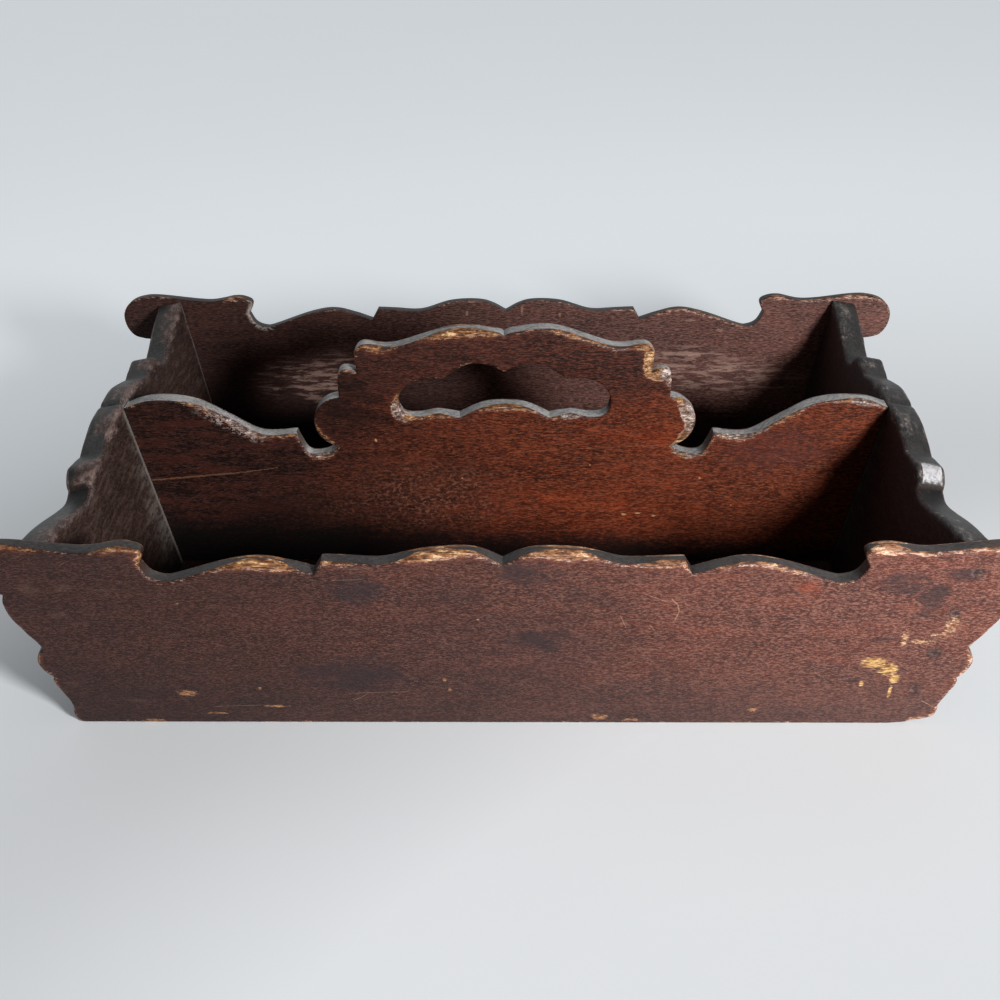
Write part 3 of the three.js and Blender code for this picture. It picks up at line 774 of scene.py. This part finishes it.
for piece, name, seed, deep, warm, scuff, wear, slate, glint_spots, dull in (
    (right_end, "right_end_polish", 51, (28, 20, 22), (52, 37, 37), 0.2,
     ((38, 36, 35), (80, 74, 71), (136, 127, 121)), (48, 46, 45), [((-59, 89), (9, 7))], []),
    (left_end, "left_end_polish", 71, (28, 20, 18), (58, 43, 38), 0.6,
     ((66, 52, 48), (104, 86, 80), (134, 117, 109)), (54, 54, 53), [((40, 88), (4, 1))],
     [((-60, 89), (6, 4))]),
):
    finish, start = new_finish(name)
    place, u, v, w, arris, rub, brad, edge, upward = board_marks(start, 0)
    ragged = figure(place, (7, 5, 6), seed + 4, 4, 0.65)
    speck = figure(place, (1.8, 1.6, 1.4), seed + 5, 3, 0.7)
    inner = band(w, -5.5, -7)
    colour, height = mahogany(place, seed, deep, warm, shade(warm, 1.5))
    scuffed = figure(place, (11, 2.4, 5), seed + 6, 4, 0.72)
    colour = tint(band(scuffed, 0.46, 0.7) * inner * scuff, colour, (88, 73, 66))
    # Painted shade: the inner face darkens towards the floor, as in a corner.
    colour = tint(band(v + (ragged - 0.5) * 16, 30, 8) * inner * 0.6, colour, (17, 13, 13))
    outer_dust = band(figure(place, (30, 12, 9), seed + 7, 4), 0.48, 0.66)
    colour = tint(outer_dust * (1 - inner) * 0.4, colour, (92, 62, 50))
    from_middle = u.math("ABSOLUTE", u, 0)
    to_corner = side_limit(0) + v * (math.tan(SIDE_LEAN) * math.cos(END_LEAN)) - from_middle
    uneven = (speck - 0.5) * 4
    glue = band(from_middle + uneven, 6.6, 4.6) * 0.8 + band(to_corner + uneven, 2.6, 0.6) * 0.6
    drifted = from_middle + v * 0.28 + (speck - 0.5) * 26 + (ragged - 0.5) * 50
    dust = band(drifted, 40, 8) * band(v, 6, 26)
    film = dust * inner * scuff * (0.2 + band(scuffed, 0.44, 0.56))
    colour = tint(film, colour, (108, 101, 96))
    colour = tint(band(speck, 0.52, 0.62) * dust * inner * scuff, colour, (134, 128, 122))
    colour = tint(glue * inner * (scuff * 1.2 - 0.1), colour, (150, 142, 135))
    stain, _ = stopped_brads(brad, ragged, speck)
    colour = tint(stain * 0.6, colour, (28, 20, 19))
    rubbed, _, _ = worn_arris(place, arris, rub, edge, seed + 8, 6.0)
    colour = tint(rubbed * 0.9, colour, bare_wood(place, rub, seed + 11, *wear, (5, 3, 3)))
    top = sawn_edge(place, seed + 13, upward, (56, 44, 39), slate)
    crest = band(rub + (ragged - 0.5) * 1.2, 0.42, 0.62) * band(w + (ragged - 0.5) * 9, -3, -6)
    top = tint(crest * 0.85, top, bare_wood(place, rub, seed + 15, *wear, (3, 2.4, 2.6)))
    hollow = spots(u, v, ragged, [
        ((-66, 80), (7, 6)), ((-8, 91), (5, 5)), ((22, 92), (6, 4)), ((66, 83), (7, 5)), *dull,
    ], 0.5)
    top = tint(hollow * 0.7, top, (24, 23, 23))
    # Painted highlight: a bright silvery glint on the bead of the end's top.
    painted_glint = tint(band(speck, 0.36, 0.6), (160, 158, 160), (188, 186, 188))
    colour = tint(edge, colour, tint(spots(u, v, speck, glint_spots, 0.3, 1.2), top, painted_glint))
    height = height - rubbed * 0.5
    dress(piece, finish, start, colour, 0.4 + ragged * 0.14, height, 0.2)

# Floor: one thin board let in between the four walls, its edges planed to their lean. It is
# polished above, bare and dusty underneath, and takes the brads that come up into the divider.


FLOOR_THICKNESS = 6.0


def end_limit(height):
    """How far from the middle the ends let a board reach at a height."""
    return FLOOR_LENGTH / 2 + height * math.tan(END_LEAN) - JOINT_GAP / math.cos(END_LEAN)


def floor_place(u, v, w):
    """The floor lies face down, with its edges sloped to meet the leaning walls."""
    z = -w
    x = u * end_limit(z) / end_limit(0)
    y = v * side_limit(z) / side_limit(0)
    return np.column_stack([x, y, z]), np.column_stack([x, y, z])


half_length, half_depth = end_limit(0), side_limit(0)
floor_outline = both_halves(np.vstack([
    swing((0, half_depth), (half_length, half_depth)),
    swing((half_length, half_depth), (half_length, -half_depth))[1:],
]))
floor_even = np.full(len(floor_outline), 0.25)
floor_piece = shape_board(
    "floor_board", [floor_outline], FLOOR_THICKNESS, (floor_even, floor_even), floor_even * 0,
    floor_place, open_brads=[(-110, 0), (0, 0), (110, 0)], grid=6,
)
finish, start = new_finish("floor_polish")
place, _, _, w, _, _, brad, _, _ = board_marks(start)
ragged = figure(place, (14, 6, 6), 95, 4, 0.65)
above = band(w, 2.6, 3.4)
colour, height = mahogany(place, 91, (34, 22, 18), (74, 48, 38), (120, 88, 70))
grime = figure(place, (60, 40, 9), 96, 4, 0.65)
colour = tint(band(grime, 0.4, 0.62) * above * 0.7, colour, (24, 17, 15))
raw, raw_height = mahogany(
    place, 101, (88, 66, 52), (134, 104, 82), (168, 138, 112), (58, 42, 34))
raw = tint(band(ragged, 0.5, 0.7) * 0.5, raw, (70, 54, 46))
stain, _ = stopped_brads(brad, ragged, ragged)
raw = tint(stain * 0.7, raw, (48, 32, 26))
colour = tint(1 - above, colour, raw)
dress(floor_piece, finish, start, colour, 0.72 - above * 0.22, height + raw_height)

# Divider: an upright mahogany board between the ends, raised in the middle as the handle. Its
# hand-hold is fretted out, and hands have worn the arrises of the handle and lobes to bare wood.

DIVIDER_THICKNESS = 8.0
divider_foot = FLOOR_THICKNESS + JOINT_GAP
arm_end = 87
divider_half = half_outline([
    ((0, 125.3), [(0.06, 2.3), (0.32, 5.8), (0.72, 0.9), (0.93, 3.6)]),
    ((67.5, 117), []),
    ((66.8, 107.2), [(0.05, 4), (0.22, 6.6), (0.47, 5.9)]),
    ((75.6, 95.2), [(0.08, 5.5), (0.25, 9.7), (0.47, 11.4), (0.7, 10.2), (0.89, 6.3)]),
    ((77.8, 69.4), [(0.15, -4.1), (0.4, -7.3), (0.64, -7.5)]),
    ((96.9, 76.4), [(0.19, -2.6), (0.38, 4), (0.57, 9.7), (0.81, 8.5)]),
    ((FLOOR_LENGTH / 2 + arm_end * math.tan(END_LEAN) + 6, arm_end), []),
])
within = divider_half[:, 0] < end_limit(divider_half[:, 1]) - JOINT_CLEAR
divider_half = divider_half[:np.argmin(within)]
arm_tip = end_limit(divider_half[-1, 1]), divider_half[-1, 1] - 0.1
divider_end = swing(arm_tip, (end_limit(divider_foot), divider_foot))
divider_outline = both_halves(np.vstack([divider_half, divider_end]))
hold_half = half_outline([
    ((0, 107.6), [(0.16, 3.5), (0.38, 5.7), (0.62, 5.3)]),
    ((28.6, 104.4), [
        (-0.14, 6.2), (-0.17, 13), (-0.07, 19), (0.13, 22.6),
        (0.36, 23.7), (0.55, 21.8), (0.68, 15.9), (0.75, 8.4),
    ]),
    ((20.7, 84.6), []),
])
hold_outline = both_halves(hold_half, [(0.25, -5.1), (0.5, -6.4), (0.75, -5.1)])
divider_line = np.vstack([divider_outline, hold_outline])
clear_of_ends = np.abs(divider_line[:, 0]) < end_limit(divider_line[:, 1]) - 0.6
free_edge = (divider_line[:, 1] > 60) & clear_of_ends
hold_crest = np.where(hold_outline[:, 1] > 97, 0.0, 0.3 * (1 - bulge(hold_outline, 4)))
divider_rub = np.concatenate([0.02 + 0.2 * bulge(divider_outline, 4), hold_crest])
divider_rub += hot_spots(divider_line, [
    (-22, 130, 15, 1.0), (-4, 127, 5, 0.4), (67, 115, 8, 1.6), (50, 119, 8, 0.5),
    (-56, 119, 8, 0.8), (32, 126, 14, 0.4), (72, 106, 6, 1.2), (87, 92, 8, 1.5),
    (86, 82, 8, 1.3), (82, 74, 5, 0.7), (86, 67, 7, 0.9), (-86, 67, 7, 0.8),
    (108, 77, 10, 0.8), (128, 85, 10, 0.4), (162, 92, 9, 0.8), (-140, 88, 8, 0.4),
    (-128, 80, 8, 0.7), (-116, 74, 8, 0.7), (-104, 76, 6, 0.3), (-49, 88, 8, 1.5),
    (0, 90, 8, 0.6), (27, 87, 10, 0.5), (-30, 86, 8, 0.3), (0, 107, 3, 0.4),
    (-86, 78, 8, 0.3), (-70, 110, 7, 0.2), (-158, 93, 12, -0.15),
])
divider_rub = np.where(free_edge, divider_rub, 0.0)


def divider_ease(seed, size):
    """The radius of the divider's arris, most round the handle and least down its ends."""
    run = np.concatenate([
        wander(len(loop), seed + number, 8)
        for number, loop in enumerate((divider_outline, hold_outline))])
    soft = np.clip(size * (0.35 + 0.9 * divider_rub) * (1 + 0.4 * run), LEAST_EASE, 2.2)
    return np.where(free_edge, soft, LEAST_EASE)


def divider_place(u, v, w):
    return np.column_stack([u, -w - DIVIDER_THICKNESS / 2, v]), np.column_stack([u, v, w])


divider_piece = shape_board(
    "divider", [divider_outline, hold_outline], DIVIDER_THICKNESS,
    (divider_ease(21, 1.5), divider_ease(23, 1.4)), divider_rub, divider_place,
)
finish, start = new_finish("divider_polish")
place, u, v, _, arris, rub, _, edge, upward = board_marks(start)
ragged, speck = tears(place, 115)
cloud = figure(place, (60, 26, 20), 117, 3)
# The divider is painted darker to the left: partly the wood's own tone, partly painted shade
# where the light falls off.
to_left = band(u + (cloud - 0.5) * 120, 20, -130)
handled = band(v + (cloud - 0.5) * 30, 86, 104)
glow = spots(u, v, cloud, [((40, 36), (76, 18)), ((66, 76), (26, 12))], 1.0)
warm = tint(handled, tint(glow, (103, 44, 27), (131, 50, 23)), (70, 34, 26))
colour, height = mahogany(
    place, 111, tint(to_left, tint(handled, (50, 20, 12), (33, 17, 14)), (24, 14, 12)),
    tint(to_left, warm, (38, 21, 18)),
    tint(to_left, tint(handled, (150, 80, 52), (114, 65, 50)), (84, 52, 44)),
    dark=(12, 7, 6), streaky=0.36, drawn=1.4)
colour = tint(spots(u, v, ragged, [((125, 68), (30, 14))], 0.9) * 0.55, colour, (78, 44, 41))
blotch = figure(place, (26, 6, 9), 119, 4, 0.65)
colour = tint(band(blotch, 0.5, 0.66) * (0.12 + to_left * 0.4), colour, (72, 36, 29))
colour = tint(band(blotch, 0.49, 0.36) * (0.12 + to_left * 0.5), colour, (20, 12, 11))
crust = band(figure(place, (1.9, 1.3, 1.6), 118, 4, 0.8), 0.5, 0.6)
crusted = spots(u, v, ragged, [((-38, 42), (50, 20)), ((-100, 36), (40, 12))], 0.8)
colour = tint(crusted * 0.6, colour, (34, 19, 16))
colour = tint(crust * crusted * band(u, -110, -40) * 0.7, colour, (136, 86, 68))
# Darker along the divider's foot: partly grime, partly the front board's shadow painted in.
low = band(v + u * 0.05 + (ragged - 0.5) * 16 + (speck - 0.5) * 22, 29, 15)
colour = tint(low * 0.9, colour, (11, 7, 7))
colour = tint(spots(u, v, ragged, [((-72, 92), (18, 20))], 0.9) * 0.5, colour, (24, 15, 13))
nicks = spots(u, v, speck, [
    ((-59.8, 73.4), (0.9, 1)), ((57, 33), (1.6, 0.8)), ((64, 33.5), (1.8, 0.7)),
    ((71, 32), (1.4, 0.8)), ((92, 52.9), (0.6, 0.6)), ((-20, 53), (0.5, 0.5)),
    ((40, 60), (0.5, 0.5)), ((108, 38), (0.5, 0.5)),
])
colour = tint(nicks, colour, (178, 128, 92))
scored = scratches(u, v, speck, [
    ((-167.5, 52), (-127.5, 55.8), 0.6), ((-127.5, 55.8), (-107, 58.6), 0.36),
    ((2.5, 66.9), (79, 71), 0.18), ((126, 65.2), (133.6, 61.5), 0.22),
    ((140.8, 59.8), (149, 58.4), 0.25),
])
colour = tint(scored * 0.4, colour, (150, 106, 80))
rubbed, line, thinned = worn_arris(place, arris, rub, edge, 120, 2.8)
colour = tint(thinned * 0.3, colour, (120, 62, 40))
bare = bare_wood(place, rub, 123, (66, 43, 31), (146, 96, 56), (224, 184, 138))
chalk = spots(u, v, ragged, [
    ((-128, 80), (36, 16)), ((87, 88), (9, 18)), ((75, 103), (6, 8)), ((-51, 88), (8, 9)),
    ((35, 84), (14, 5)), ((50, 119), (8, 3)), ((86, 68), (10, 6)), ((-86, 68), (10, 6)),
    ((112, 77), (20, 7)), ((144, 88), (14, 6)), ((164, 91), (9, 6)),
], 0.4)
bare = tint(chalk * 0.9, bare, bare_wood(
    place, rub, 125, (50, 38, 35), (128, 106, 98), (228, 212, 204), (2.4, 0.8, 1)))
bare = tint(band(speck, 0.49, 0.57) * 0.65, bare, (56, 38, 31))
near_edge = band(arris + (ragged - 0.5) * 9, 6.2, 2.6)
flecked = spots(u, v, ragged, [((-126, 80), (22, 14))], 0.6) * near_edge * band(speck, 0.49, 0.56)
colour = tint(flecked * 0.8, colour, (178, 166, 160))
colour = tint(rubbed, colour, bare)
# The pale line along the worn arris is partly pale wood and partly a painted highlight.
colour = tint(line * 0.7, colour, tint(chalk, (192, 150, 120), (184, 160, 150)))
# The pale slate on the divider's top edges is partly dust and wax bloom, partly a painted
# reflection of the pale sky.
colour = tint(edge, colour, sawn_edge(place, 127, upward, (66, 48, 41), (154, 152, 151)))
rough = 0.36 + cloud * 0.1 + low * 0.2
dress(divider_piece, finish, start, colour, rough, height - rubbed * 0.8)

# Brads: small iron nails sheared from plate, driven through the walls and up through the
# floor. They stay as they were driven, sunk under their stopping, dark and rusted dull.

finish, start = new_finish("brad_iron")
over_iron = start.node("TexCoord", {}, {}, "Object")
rust = start.node("TexNoise", {}, {
    "Vector": over_iron, "Scale": 900.0, "Detail": 4.0})
rusted = band(rust, 0.42, 0.62)
pits = start.node("TexNoise", {}, {
    "Vector": over_iron, "Scale": 3200.0, "Detail": 2.0})
bump = start.node("Bump", {}, {"Strength": 0.4, "Distance": 0.0001, "Height": pits})
shader = start.node("BsdfPrincipled", {}, {
    "Base Color": tint(rusted, (52, 48, 47), (98, 56, 36)),
    "Roughness": 0.5 + rusted * 0.35, "Metallic": 0.9 - rusted * 0.8, "Normal": bump})
start.node("OutputMaterial", {}, {"Surface": shader})
for name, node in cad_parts.items():
    if "brad" in name:
        for material_slot in node.material_slots:
            material_slot.material = finish

# Table and light: a plain pale table, lit by a soft round lamp an arm's length off at the front
# right. Its paint looks even to the eye: held down near the lamp, and lifted far off. A dim sky
# fills the shadows, and is pale behind the tray, where the polished edges mirror it.

LAMP_PLACE = Vector((0.494, -0.740, 0.435))
LAMP_AIM = (Vector((0, 0, 0.05)) - LAMP_PLACE).normalized()
LAMP_WIDTH, LAMP_WATTS = 0.18, 11.6
TABLE_REACH, TABLE_LEVEL = 6.0, -0.0003
table_mesh = bpy.data.meshes.new("table_top")
table_mesh.from_pydata(
    [(x * TABLE_REACH, y * TABLE_REACH, TABLE_LEVEL)
     for x, y in ((-1, -1), (1, -1), (1, 1), (-1, 1))],
    [], [(0, 1, 2, 3)],
)
table = bpy.data.objects.new("table_top", table_mesh)
bpy.context.scene.collection.objects.link(table)
finish, start = new_finish("table_paint")
on_table = start.node("TexCoord", {}, {}, "Object")
cloud = start.node("TexNoise", {}, {"Vector": on_table, "Scale": 6.0, "Detail": 3.0})
x, y = (start.node("SeparateXYZ", {}, {0: on_table}, axis) for axis in "XY")
across, along = x - LAMP_PLACE.x, y - LAMP_PLACE.y
reach = across * across + along * along + LAMP_PLACE.z**2
aimed = across * LAMP_AIM.x + along * LAMP_AIM.y - LAMP_AIM.z * LAMP_PLACE.z
lit = aimed.higher(0) / (reach * reach) * LAMP_PLACE.z
SEEN_RAYS = "Is Camera Ray", "Is Glossy Ray"
camera_ray, glossy_ray = (start.node("LightPath", {}, {}, ray) for ray in SEEN_RAYS)
far_off = band(lit, 0.5, 0.1) * camera_ray.higher(glossy_ray)
too_near = 1 - (0.79 / (lit + 0.13)).lower(1)
pale_paint = tint(cloud, (228, 231, 234), (233, 236, 238))
shader = start.node("BsdfPrincipled", {}, {
    "Base Color": tint(too_near * camera_ray, pale_paint, (0, 0, 0)), "Roughness": 0.9,
    "Specular IOR Level": 0.2, "Emission Strength": 1.0,
    "Emission Color": tint(far_off * 0.5, (0, 0, 0), (236, 243, 248))})
start.node("OutputMaterial", {}, {"Surface": shader})
table_mesh.materials.append(finish)

scene = bpy.context.scene
world = bpy.data.worlds.new("pale_sky")
scene.world = world
world.use_nodes = True
world.node_tree.nodes.clear()
start = Lane(world.node_tree)
SKY_LIGHT, SKY_SEEN = 0.15, 0.84
direction = start.node("TexCoord", {}, {}, "Generated")
behind = band(start.node("SeparateXYZ", {}, {0: direction}, "Y"), 0.1, 0.6)
camera_ray, glossy_ray = (start.node("LightPath", {}, {}, ray) for ray in SEEN_RAYS)
seen = camera_ray.higher(behind * (glossy_ray * 0.7 + 0.3))
sky = start.node("Background", {}, {
    "Color": paint(242, 244, 246), "Strength": SKY_LIGHT + seen * (SKY_SEEN - SKY_LIGHT)})
start.node("OutputWorld", {}, {"Surface": sky})

lamp_data = bpy.data.lights.new("soft_lamp", "AREA")
lamp_data.shape = "DISK"
lamp_data.size = LAMP_WIDTH
lamp_data.energy = LAMP_WATTS
lamp = bpy.data.objects.new("soft_lamp", lamp_data)
lamp.location = LAMP_PLACE
lamp.rotation_mode = "QUATERNION"
lamp.rotation_quaternion = LAMP_AIM.to_track_quat("-Z", "Y")
lamp.visible_camera = False
scene.collection.objects.link(lamp)

# Camera: stands half a metre in front of the tray, at the height of a person's eye at the
# table, and looks down on it. It is turned and tipped by less than a degree.

EYE = Vector((0.004146, -0.5369, 0.3596))
PITCH, YAW, ROLL = math.radians(31.41), math.radians(-0.8706), math.radians(-0.4734)
ahead = Vector((
    math.sin(YAW) * math.cos(PITCH), math.cos(YAW) * math.cos(PITCH), -math.sin(PITCH)))
level = Vector((math.cos(YAW), -math.sin(YAW), 0))
upright = level.cross(ahead)
right = math.cos(ROLL) * level + math.sin(ROLL) * upright
upright = math.cos(ROLL) * upright - math.sin(ROLL) * level
camera_data = bpy.data.cameras.new("eye")
camera_data.sensor_width = 36
camera_data.lens = 46.8
camera_data.shift_x = 0.0034
camera_data.shift_y = 0.012
camera_data.clip_start = 0.01
camera = bpy.data.objects.new("eye", camera_data)
facing = Matrix((right, upright, -ahead)).transposed().to_4x4()
camera.matrix_world = Matrix.Translation(EYE) @ facing
scene.collection.objects.link(camera)
scene.camera = camera
scene.view_settings.view_transform = "Standard"
